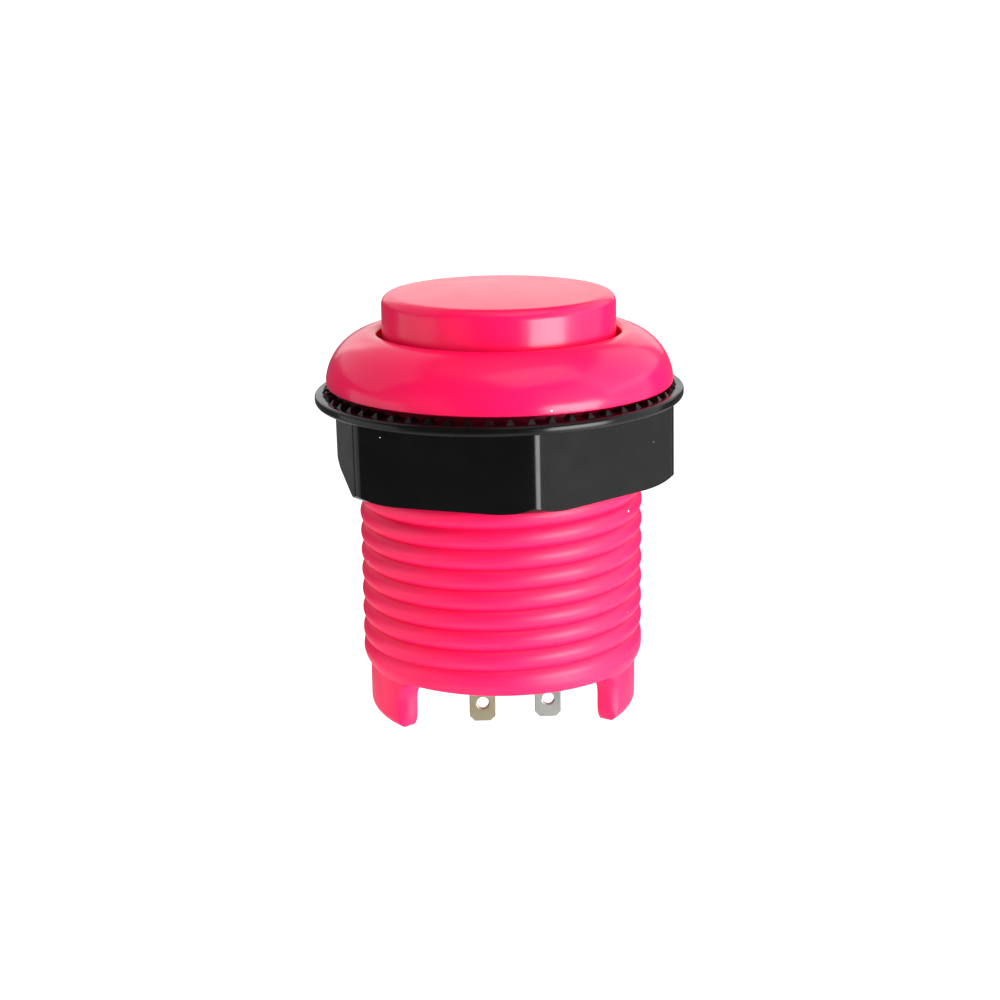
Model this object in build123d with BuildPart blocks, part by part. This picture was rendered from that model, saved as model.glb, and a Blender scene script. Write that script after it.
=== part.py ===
from build123d import *
from math import atan, ceil, cos, radians, sin
import os

# Arcade push button that screws into a panel. A domed bezel and a threaded barrel are one
# moulding. A sprung plunger slides in it, a flanged hexagon nut clamps it from below, and a
# small two-terminal switch sits in a nest at the foot of the barrel.
# Millimetres. The origin is on the axis at the bezel's underside, where the panel lies, and
# +Z points out of the panel. The two feet of the barrel stand along X.

# Plunger
plunger_diameter = 22.0
plunger_top = 8.4
plunger_edge_radius = 1.0
plunger_crown = 1.8
plunger_wall = 1.4
plunger_travel = 3.0
plunger_clearance = 0.45
skirt_length = 21.9
boss_diameter = 8.6
boss_length = 8.6
spigot_length = 1.5
stem_diameter = 4.4
rib_thickness = 1.2
hook_width = 5.0
hook_thickness = 1.0
hook_lip = 0.8
hook_height = 1.6
hook_face = 0.55
hook_clearance = 0.05

# Bezel
bezel_overhang = 2.85
bezel_height = 4.9
bezel_rim = 0.65
bezel_crown = 1.1
bezel_dome_radius = 5.1
bezel_lip_chamfer = 0.35

# Barrel and its thread
barrel_wall = 1.57
barrel_length = 26.85
thread_pitch = 1.92
thread_depth = 0.48
thread_crest = 0.8
thread_overlap = 0.1
thread_run_out = 0.96
neck_length = 1.6
neck_depth = 0.53
taper_above = 0.95
taper_below = 0.4
taper_radius = 2.4

# Feet at the lower end of the barrel
foot_step = 0.15
foot_wall = 1.8
foot_length = 4.7
foot_angle = 79.0
foot_corner_radius = 0.8
arch_radius = 0.7

# Deck across the barrel, with the spring's seat and windows for the plunger's hooks
deck_clearance = 1.5
deck_thickness = 2.0
guide_clearance = 0.3
window_clearance = 0.3
seat_height = 1.0

# Return spring
spring_wire = 0.5
spring_turns = 6.0
spring_sides = 6
spring_clearance = 0.2

# Nut
nut_sides = 6
nut_wall = 1.25
nut_height = 8.3
nut_corner_radius = 1.2
nut_chamfer = 1.1
nut_turn = -23.3
nut_tilt = 0.7
nut_gap = 0.25
flange_lip = 0.4
flange_thickness = 0.85
flange_cone = 0.8
flange_edge_chamfer = 0.25
tooth_count = 56
tooth_inset = 0.35
tooth_height = 0.4
tooth_width = 0.85
tooth_length = 1.4
tooth_taper = 40.0
nut_thread_clearance = 0.15
nut_thread_depth = 0.4
nut_thread_base = 0.7
nut_thread_inset = 0.9

# Nest and case of the switch
case_length = 12.8
case_depth = 5.8
case_height = 6.5
case_wall = 0.7
case_roof = 0.8
case_offset = 1.18
case_clearance = 0.05
case_edge_radius = 0.4
base_height = 1.7
base_tongue = 0.5
tongue_clearance = 0.05
nest_wall = 1.2
nest_clearance = 0.1
nest_lip = 0.4
nest_lip_length = 4.0
nest_lip_height = 0.6

# Button of the switch
button_diameter = 1.8
button_stand = 0.9
button_travel = 0.4
button_clearance = 0.1
button_flange = 0.5
button_flange_height = 0.6
button_nose_diameter = 1.0
press_clearance = 0.05

# Terminals, blade and contacts of the switch
terminal_pitch = 6.45
terminal_width = 2.6
terminal_thickness = 0.5
terminal_clearance = 0.03
terminal_corner = 0.5
common_length = 7.7
open_length = 7.45
eye_diameter = 1.2
eye_from_tip = 1.85
shelf_depth = 1.6
shelf_clearance = 0.05
pivot_inset = 0.5
pivot_heel = 0.25
pivot_slope = 0.5
blade_thickness = 0.2
blade_width = 2.4
blade_overhang = 0.9
blade_window = 1.0
blade_bridge = 0.5
blade_clearance = 0.02
contact_diameter = 1.2
contact_height = 0.4
contact_clearance = 0.03

# Radii and heights of the mouldings that follow from the sizes above
plunger_radius = plunger_diameter / 2
skirt_radius = plunger_radius - plunger_wall
skirt_bottom = plunger_top - skirt_length
boss_radius = boss_diameter / 2
boss_bottom = plunger_top - plunger_crown - boss_length
stem_radius = stem_diameter / 2
bore_radius = plunger_radius + plunger_clearance
root_radius = bore_radius + barrel_wall
thread_radius = root_radius + thread_depth
neck_radius = thread_radius - neck_depth
thread_start = -(barrel_length + thread_run_out)
bezel_radius = thread_radius + bezel_overhang
foot_radius = root_radius - foot_step
foot_bore_radius = foot_radius - foot_wall
foot_bottom = -(barrel_length + foot_length)
deck_top = skirt_bottom - plunger_travel - deck_clearance
deck_bottom = deck_top - deck_thickness
spring_radius = boss_radius - spring_wire
spigot_radius = spring_radius - spring_wire / 2 - spring_clearance

# Heights and places in the switch
case_top = deck_bottom - case_clearance
case_bottom = case_top - case_height
base_top = case_bottom + base_height
floor_top = base_top + base_tongue
cavity_length = case_length - 2 * case_wall
cavity_depth = case_depth - 2 * case_wall
cavity_top = case_top - case_roof
common_x = case_offset - terminal_pitch / 2
open_x = case_offset + terminal_pitch / 2
shelf_top = floor_top + shelf_clearance + terminal_thickness
contact_y = (shelf_depth - terminal_thickness) / 2
pivot_x = case_offset - cavity_length / 2 + pivot_inset
pivot_z = shelf_top + 2 * contact_height + contact_clearance
blade_swing = atan(button_travel / -pivot_x)
button_top = case_top + button_stand
stem_end = button_top + plunger_travel - button_travel + press_clearance

os.makedirs("parts", exist_ok=True)


def write_piece(builder, name):
    """Labels a finished piece and writes it to a file of its own."""
    builder.part.label = name
    export_step(builder.part, f"parts/{name}.step")


def across(path):
    """Plane across the start of a helix, its x axis pointing away from the helix's axis."""
    start = path @ 0
    return Plane(origin=start, x_dir=(start.X, start.Y, 0), z_dir=path % 0)


# Space of the two arches between the feet, with rounded upper corners
arch_half_angle = radians(90 - foot_angle / 2)
arch_inner = foot_bore_radius / 2
arch_outer = 2 * thread_radius
with BuildPart() as arches:
    with BuildSketch(Plane.XY.offset(-barrel_length)):
        for side in (-1, 1):
            with BuildLine():
                Polyline(
                    (-arch_inner * sin(arch_half_angle), side * arch_inner * cos(arch_half_angle)),
                    (-arch_outer * sin(arch_half_angle), side * arch_outer * cos(arch_half_angle)),
                    (arch_outer * sin(arch_half_angle), side * arch_outer * cos(arch_half_angle)),
                    (arch_inner * sin(arch_half_angle), side * arch_inner * cos(arch_half_angle)),
                    close=True,
                )
            make_face()
    extrude(amount=-foot_length)
    sides = arches.edges().group_by(Axis.Z)[-1].filter_by(Axis.X, reverse=True)
    fillet(sides, arch_radius)

# Housing: bezel, threaded barrel, feet, deck and switch nest in one moulding
with BuildPart() as housing:
    with BuildSketch(Plane.XY.offset(bezel_height)):
        Circle(thread_radius)
    extrude(amount=foot_bottom - bezel_height)

    # the thread is a helical groove that leaves a broad crest
    groove_half = (thread_pitch - thread_crest) / 2
    mouth_half = groove_half * (thread_depth + thread_overlap) / thread_depth
    groove_length = mouth_half + thread_overlap - neck_length - thread_start
    with BuildLine(mode=Mode.PRIVATE) as groove_path:
        Helix(thread_pitch, groove_length, thread_radius, center=(0, 0, thread_start))
    with BuildSketch(across(groove_path.line)):
        with BuildLine():
            Polyline(
                (-thread_depth, 0),
                (thread_overlap, mouth_half),
                (thread_overlap, -mouth_half),
                close=True,
            )
        make_face()
    sweep(path=groove_path.line, is_frenet=True, mode=Mode.SUBTRACT)

    # plain neck under the bezel, and a lower end that is rounded in to the feet
    taper_start = (thread_radius, -(barrel_length - taper_above))
    taper_end = (foot_radius, -(barrel_length + taper_below))
    with BuildSketch(Plane.XZ):
        with BuildLine():
            Polyline((0, 0), (neck_radius, 0), (neck_radius, -neck_length))
            Polyline((neck_radius, -neck_length), (thread_radius, -neck_length), taper_start)
            RadiusArc(taper_start, taper_end, taper_radius)
            Polyline(taper_end, (foot_radius, foot_bottom), (0, foot_bottom), (0, 0))
        make_face()
    revolve(axis=Axis.Z, mode=Mode.INTERSECT)

    # domed bezel
    dome_start = (bezel_radius, bezel_rim)
    dome_end = (bore_radius + bezel_crown, bezel_height)
    with BuildSketch(Plane.XZ):
        with BuildLine():
            Polyline((0, 0), (bezel_radius, 0), dome_start)
            RadiusArc(dome_start, dome_end, -bezel_dome_radius)
            Polyline(dome_end, (0, bezel_height), (0, 0))
        make_face()
    revolve(axis=Axis.Z)

    # bore for the plunger above the deck, and a narrower one below it
    with BuildSketch(Plane.XY.offset(bezel_height)):
        Circle(bore_radius)
    extrude(amount=deck_top - bezel_height, mode=Mode.SUBTRACT)
    with BuildSketch(Plane.XY.offset(deck_bottom)):
        Circle(foot_bore_radius)
    extrude(amount=foot_bottom - deck_bottom, mode=Mode.SUBTRACT)
    mouth = housing.edges().filter_by(GeomType.CIRCLE).group_by(Axis.Z)[-1]
    chamfer(mouth.sort_by(SortBy.RADIUS)[0], bezel_lip_chamfer)

    # arches between the two feet
    add(arches.part, mode=Mode.SUBTRACT)
    straight = housing.edges().filter_by(GeomType.LINE)
    fillet(straight.filter_by_position(Axis.Z, foot_bottom, foot_bottom), foot_corner_radius)

    # seat that centres the spring, the stem's hole through it and the hooks' windows
    with BuildSketch(Plane.XY.offset(deck_top)):
        Circle(spigot_radius)
    extrude(amount=seat_height)
    with BuildSketch(Plane.XY.offset(deck_top + seat_height)):
        Circle(stem_radius + guide_clearance)
    extrude(amount=deck_bottom - deck_top - seat_height, mode=Mode.SUBTRACT)
    window_inner = skirt_radius - window_clearance
    with BuildSketch(Plane.XY.offset(deck_top)):
        with Locations((0, window_inner), (0, -window_inner)):
            Rectangle(hook_width + 2 * window_clearance, 2 * bore_radius)
        Rectangle(2 * bore_radius, 2 * window_inner, mode=Mode.SUBTRACT)
        Circle(foot_bore_radius, mode=Mode.INTERSECT)
    extrude(amount=-deck_thickness, mode=Mode.SUBTRACT)

    # nest under the deck, with lips that hold the switch up
    pocket_length = case_length + 2 * nest_clearance
    pocket_depth = case_depth + 2 * nest_clearance
    lip_top = case_bottom - case_clearance
    with BuildSketch(Plane.XY.offset(deck_bottom)):
        with Locations((case_offset, 0)):
            Rectangle(pocket_length + 2 * nest_wall, pocket_depth + 2 * nest_wall)
            Rectangle(pocket_length, pocket_depth, mode=Mode.SUBTRACT)
    extrude(amount=lip_top - nest_lip_height - deck_bottom)
    for side in (-1, 1):
        wall_y = side * pocket_depth / 2
        with BuildSketch(Plane.YZ.offset(case_offset)):
            with BuildLine():
                Polyline(
                    (wall_y, lip_top),
                    (wall_y - side * nest_lip, lip_top),
                    (wall_y, lip_top - nest_lip_height),
                    close=True,
                )
            make_face()
        extrude(amount=nest_lip_length / 2, both=True)
write_piece(housing, "housing")

# Plunger: cap with a skirt, ribbed boss, stem and two snap hooks
with BuildPart() as plunger:
    with BuildSketch(Plane.XY.offset(skirt_bottom)):
        Circle(plunger_radius)
    extrude(amount=skirt_length)
    fillet(plunger.edges().group_by(Axis.Z)[-1], plunger_edge_radius)
    with BuildSketch(Plane.XY.offset(skirt_bottom)):
        Circle(skirt_radius)
    extrude(amount=skirt_length - plunger_crown, mode=Mode.SUBTRACT)

    # boss that carries the spring, and four ribs that tie it to the skirt
    crown_bottom = plunger_top - plunger_crown
    with BuildSketch(Plane.XY.offset(crown_bottom)):
        Circle(boss_radius)
        Rectangle(2 * skirt_radius, rib_thickness)
        Rectangle(rib_thickness, 2 * skirt_radius)
    extrude(amount=-boss_length)
    with BuildSketch(Plane.XY.offset(boss_bottom)):
        Circle(spigot_radius)
    extrude(amount=-spigot_length)
    with BuildSketch(Plane.XY.offset(boss_bottom)):
        Circle(stem_radius)
    extrude(amount=stem_end - boss_bottom)

    # hooks that pass the deck's windows and catch under it
    catch = deck_bottom - hook_clearance
    for side in (-1, 1):
        inner = side * skirt_radius
        outer = side * (skirt_radius + hook_thickness)
        with BuildSketch(Plane.YZ):
            with BuildLine():
                Polyline(
                    (inner, skirt_bottom + hook_thickness),
                    (outer, skirt_bottom + hook_thickness),
                    (outer, catch - hook_height),
                    (inner, catch - hook_height),
                    (inner - side * hook_lip, catch - hook_face),
                    (inner - side * hook_lip, catch),
                    (inner, catch),
                    close=True,
                )
            make_face()
        extrude(amount=hook_width / 2, both=True)
write_piece(plunger, "plunger")

# Return spring with ground ends, between the deck and the plunger's boss
with BuildPart() as return_spring:
    spring_length = boss_bottom - deck_top
    with BuildLine(mode=Mode.PRIVATE) as coil:
        Helix(spring_length / spring_turns, spring_length, spring_radius, center=(0, 0, deck_top))
    with BuildSketch(across(coil.line)):
        RegularPolygon(spring_wire / 2, spring_sides)
    sweep(path=coil.line, is_frenet=True)
    with BuildSketch(Plane.XY.offset(deck_top)):
        Circle(2 * spring_radius)
    extrude(amount=spring_length, mode=Mode.INTERSECT)
write_piece(return_spring, "return_spring")

# Nut, first square on its thread
nut_apothem = thread_radius + nut_thread_clearance + nut_wall
nut_corner = (nut_apothem - nut_corner_radius) / cos(radians(180 / nut_sides)) + nut_corner_radius
nut_bore_radius = thread_radius + nut_thread_clearance
flange_radius = nut_corner + flange_lip
flange_top = -(nut_gap + tooth_height)
flange_bottom = flange_top - flange_thickness
nut_bottom = flange_top - nut_height
with BuildPart() as straight_nut:
    with BuildSketch(Plane.XY.offset(flange_top)) as hexagon:
        RegularPolygon(nut_apothem, nut_sides, major_radius=False, rotation=nut_turn)
        fillet(hexagon.vertices(), nut_corner_radius)
    extrude(amount=-nut_height)

    # corners of the hexagon chamfered round at the lower end
    chamfer_radius = nut_apothem + nut_chamfer
    chamfer_rise = flange_radius - chamfer_radius
    with BuildSketch(Plane.XZ):
        with BuildLine():
            Polyline(
                (0, flange_top),
                (flange_radius, flange_top),
                (flange_radius, nut_bottom + chamfer_rise),
                (chamfer_radius, nut_bottom),
                (0, nut_bottom),
                close=True,
            )
        make_face()
    revolve(axis=Axis.Z, mode=Mode.INTERSECT)

    # flange with a chamfered rim and a coned underside
    with BuildSketch(Plane.XZ) as flange_section:
        with BuildLine():
            Polyline(
                (0, flange_top),
                (flange_radius, flange_top),
                (flange_radius, flange_bottom),
                (nut_bore_radius, flange_bottom - flange_cone),
                (0, flange_bottom - flange_cone),
                close=True,
            )
        make_face()
        chamfer(flange_section.vertices().group_by(Axis.X)[-1], flange_edge_chamfer)
    revolve(axis=Axis.Z)

    # pointed teeth that bite the panel
    tooth_ring = flange_radius - flange_edge_chamfer - tooth_inset - tooth_length / 2
    with BuildSketch(Plane.XY.offset(flange_top)):
        with PolarLocations(tooth_ring, tooth_count):
            Rectangle(tooth_length, tooth_width)
    extrude(amount=tooth_height, taper=tooth_taper)

    # threaded bore, its ridge in the middle of the barrel's groove
    with BuildSketch(Plane.XY.offset(flange_top)):
        Circle(nut_bore_radius)
    extrude(amount=-nut_height, mode=Mode.SUBTRACT)
    first_turn = ceil((nut_bottom + nut_thread_inset - thread_start) / thread_pitch)
    nut_helix_start = thread_start + first_turn * thread_pitch
    nut_helix_height = flange_top - nut_thread_inset - nut_helix_start
    with BuildLine(mode=Mode.PRIVATE) as nut_path:
        Helix(thread_pitch, nut_helix_height, nut_bore_radius, center=(0, 0, nut_helix_start))
    ridge_half = nut_thread_base / 2 * (nut_thread_depth + thread_overlap) / nut_thread_depth
    with BuildSketch(across(nut_path.line)):
        with BuildLine():
            Polyline(
                (-nut_thread_depth, 0),
                (thread_overlap, -ridge_half),
                (thread_overlap, ridge_half),
                close=True,
            )
        make_face()
    sweep(path=nut_path.line, is_frenet=True)

# the nut sits a little crooked on its coarse thread
nut_middle = (flange_top + nut_bottom) / 2
crooked_nut = straight_nut.part.rotate(Axis((0, 0, nut_middle), (0, 1, 0)), -nut_tilt)
with BuildPart() as lock_nut:
    add(crooked_nut)
write_piece(lock_nut, "lock_nut")

# Switch base: block with a tongue that locates the cover, and slots for the terminals
slot_width = terminal_width + 2 * terminal_clearance
slot_thickness = terminal_thickness + 2 * terminal_clearance
with BuildPart() as switch_base:
    with BuildSketch(Plane.XY.offset(case_bottom)):
        with Locations((case_offset, 0)):
            RectangleRounded(case_length, case_depth, case_edge_radius)
    extrude(amount=base_height)
    with BuildSketch(Plane.XY.offset(base_top)):
        with Locations((case_offset, 0)):
            Rectangle(cavity_length - 2 * tongue_clearance, cavity_depth - 2 * tongue_clearance)
    extrude(amount=base_tongue)
    with BuildSketch(Plane.XY.offset(floor_top)):
        with Locations((common_x, 0), (open_x, 0)):
            Rectangle(slot_width, slot_thickness)
    extrude(amount=case_bottom - floor_top, mode=Mode.SUBTRACT)
write_piece(switch_base, "switch_base")

# Switch cover: hood over the mechanism, with a hole for the button
with BuildPart() as switch_cover:
    with BuildSketch(Plane.XY.offset(base_top)):
        with Locations((case_offset, 0)):
            RectangleRounded(case_length, case_depth, case_edge_radius)
    extrude(amount=case_top - base_top)
    with BuildSketch(Plane.XY.offset(base_top)):
        with Locations((case_offset, 0)):
            Rectangle(cavity_length, cavity_depth)
    extrude(amount=cavity_top - base_top, mode=Mode.SUBTRACT)
    with BuildSketch(Plane.XY.offset(case_top)):
        Circle(button_diameter / 2 + button_clearance)
    extrude(amount=-case_roof, mode=Mode.SUBTRACT)
write_piece(switch_cover, "switch_cover")

# Switch button: pin with a flange inside the cover and a nose on the blade
blade_top = pivot_z + blade_thickness
nose_radius = button_nose_diameter / 2
nose_drop = nose_radius * button_travel / -pivot_x
nose_bottom = blade_top + button_travel + nose_drop + press_clearance
flange_seat = cavity_top - button_clearance
with BuildPart() as switch_button:
    with BuildSketch(Plane.XY.offset(button_top)):
        Circle(button_diameter / 2)
    extrude(amount=flange_seat - button_top)
    chamfer(switch_button.edges().group_by(Axis.Z)[-1], button_clearance)
    with BuildSketch(Plane.XY.offset(flange_seat)):
        Circle(button_diameter / 2 + button_flange)
    extrude(amount=-button_flange_height)
    with BuildSketch(Plane.XY.offset(flange_seat)):
        Circle(nose_radius)
    extrude(amount=nose_bottom - flange_seat)
write_piece(switch_button, "switch_button")

# Common terminal: flat blank with its tab below and the blade's pivot at the top
common_tip = case_bottom - common_length
with BuildPart() as common_terminal:
    with BuildSketch(Plane.XZ) as blank:
        with Locations((common_x, common_tip)):
            Rectangle(terminal_width, floor_top - common_tip, align=(Align.CENTER, Align.MIN))
        chamfer(blank.vertices().group_by(Axis.Y)[0], terminal_corner)
        with Locations((common_x, common_tip + eye_from_tip)):
            Circle(eye_diameter / 2, mode=Mode.SUBTRACT)
        arm_left = pivot_x - pivot_heel
        arm_right = common_x + terminal_width / 2
        with Locations((arm_left, floor_top)):
            Rectangle(arm_right - arm_left, shelf_top - floor_top, align=(Align.MIN, Align.MIN))
        with BuildLine():
            Polyline(
                (arm_left, shelf_top),
                (pivot_x + pivot_slope, shelf_top),
                (pivot_x, pivot_z - blade_clearance),
                (arm_left, pivot_z - blade_clearance - pivot_heel),
                close=True,
            )
        make_face()
    extrude(amount=terminal_thickness / 2, both=True)
write_piece(common_terminal, "common_terminal")

# Open terminal: tab bent over at the top into a shelf for the fixed contact
open_tip = case_bottom - open_length
half_thickness = terminal_thickness / 2
with BuildPart() as open_terminal:
    with BuildSketch(Plane.YZ.offset(open_x)):
        with Locations((0, open_tip)):
            Rectangle(terminal_thickness, shelf_top - open_tip, align=(Align.CENTER, Align.MIN))
        with Locations((-half_thickness, shelf_top)):
            Rectangle(shelf_depth, terminal_thickness, align=(Align.MIN, Align.MAX))
    extrude(amount=terminal_width / 2, both=True)
    tip_edges = open_terminal.edges().filter_by(Axis.Y).filter_by_position(Axis.Z, open_tip, open_tip)
    chamfer(tip_edges, terminal_corner)
    with BuildSketch(Plane.XZ):
        with Locations((open_x, open_tip + eye_from_tip)):
            Circle(eye_diameter / 2)
    extrude(amount=terminal_thickness, both=True, mode=Mode.SUBTRACT)
write_piece(open_terminal, "open_terminal")

# Fixed contact on the open terminal's shelf
with BuildPart() as fixed_contact:
    with BuildSketch(Plane.XY.offset(shelf_top)):
        with Locations((open_x, contact_y)):
            Circle(contact_diameter / 2)
    extrude(amount=contact_height)
write_piece(fixed_contact, "fixed_contact")

# Moving blade on its pivot, tilted up until the button presses it level
blade_along = (cos(blade_swing), 0, sin(blade_swing))
blade_upward = (-sin(blade_swing), 0, cos(blade_swing))
blade_plane = Plane(origin=(pivot_x, 0, pivot_z), x_dir=blade_along, z_dir=blade_upward)
contact_reach = open_x - pivot_x
blade_length = pivot_heel + contact_reach + blade_overhang
window_length = -pivot_x - blade_bridge - nose_radius
from_left = (Align.MIN, Align.CENTER)
with BuildPart() as moving_blade:
    with BuildSketch(blade_plane):
        with Locations((-pivot_heel, 0)):
            Rectangle(blade_length, blade_width, align=from_left)
        with Locations((blade_bridge, 0)):
            Rectangle(window_length, blade_window, align=from_left, mode=Mode.SUBTRACT)
    extrude(amount=blade_thickness)
write_piece(moving_blade, "moving_blade")

# Moving contact under the blade's free end
with BuildPart() as moving_contact:
    with BuildSketch(blade_plane):
        with Locations((contact_reach, contact_y)):
            Circle(contact_diameter / 2)
    extrude(amount=-contact_height)
write_piece(moving_contact, "moving_contact")
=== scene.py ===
"""Studio picture of a screw-in arcade push button.

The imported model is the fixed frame. The housing, the plunger and the nut are modelled again
here with rounded edges and a smooth thread, and stand for their solids. The terminals, the
spring and the switch keep their solids and get their finish.
"""

import logging
import math
from dataclasses import dataclass
from enum import Enum
from typing import Callable, Dict, List, Sequence, Tuple, Union

import bpy
from mathutils import Matrix, Quaternion, Vector


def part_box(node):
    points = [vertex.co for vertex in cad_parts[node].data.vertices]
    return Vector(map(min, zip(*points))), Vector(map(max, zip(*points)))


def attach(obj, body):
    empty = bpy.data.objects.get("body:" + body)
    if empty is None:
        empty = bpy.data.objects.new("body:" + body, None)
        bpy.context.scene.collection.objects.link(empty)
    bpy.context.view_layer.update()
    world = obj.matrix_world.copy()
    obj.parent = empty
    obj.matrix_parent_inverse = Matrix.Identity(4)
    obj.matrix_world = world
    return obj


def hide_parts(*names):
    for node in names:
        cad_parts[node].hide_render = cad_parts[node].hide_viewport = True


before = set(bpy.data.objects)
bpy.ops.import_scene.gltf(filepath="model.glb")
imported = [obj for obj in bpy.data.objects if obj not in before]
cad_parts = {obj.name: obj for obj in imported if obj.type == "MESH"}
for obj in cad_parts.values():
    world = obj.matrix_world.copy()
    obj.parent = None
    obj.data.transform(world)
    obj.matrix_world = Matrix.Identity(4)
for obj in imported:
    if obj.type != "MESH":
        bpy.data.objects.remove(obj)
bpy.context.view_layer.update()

MM = 0.001
WELD = 1e-7
NEAR = MM / 100
OVER = 1.0  # how far a tool reaches past the piece, in millimetres
CENTRE = (0, 0, 0)
LOG = logging.getLogger("push_button")

Piece = bpy.types.Object
Socket = bpy.types.NodeSocket
Key = Union[str, int]
Test = Callable[[Vector], bool]
Point = Tuple[float, float]
Line = List[Point]
Vector3 = Tuple[float, float, float]
Colour = Tuple[float, float, float, float]


class Body(str, Enum):
    """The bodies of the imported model."""

    HOUSING = "housing"
    PLUNGER = "plunger"


class Trim(str, Enum):
    """What a cutting tool does to the piece that it meets."""

    CUT = "DIFFERENCE"
    ADD = "UNION"
    KEEP = "INTERSECT"


class Part(str, Enum):
    """What is picked on a mesh."""

    EDGE = "EDGE"
    FACE = "FACE"


def at_height(height: float) -> Test:
    """Gives the test for what lies at a height in millimetres."""
    return lambda spot: abs(spot.z - height * MM) < NEAR


def bend(start: Point, end: Point, radius: float, steps: int) -> Line:
    """Points of an arc between two points.

    Args:
        start: First point, as radius and height in millimetres.
        end: Last point.
        radius: Radius of the arc; positive puts its centre left of the way from start to end.
        steps: Number of chords.

    Returns:
        The points after start, up to and with end.
    """
    along = Vector(end) - Vector(start)
    side = Vector((-along.y, along.x)).normalized()
    rise = math.sqrt(radius**2 - (along.length / 2) ** 2)
    centre = (Vector(start) + Vector(end)) / 2 + side * math.copysign(rise, radius)
    first = Vector(start) - centre
    turn = 2 * math.asin(along.length / 2 / abs(radius)) * math.copysign(1, radius)
    points = []
    for step in range(1, steps + 1):
        angle = turn * step / steps
        cosine, sine = math.cos(angle), math.sin(angle)
        points.append((
            centre.x + first.x * cosine - first.y * sine,
            centre.y + first.x * sine + first.y * cosine,
        ))
    return points


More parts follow.
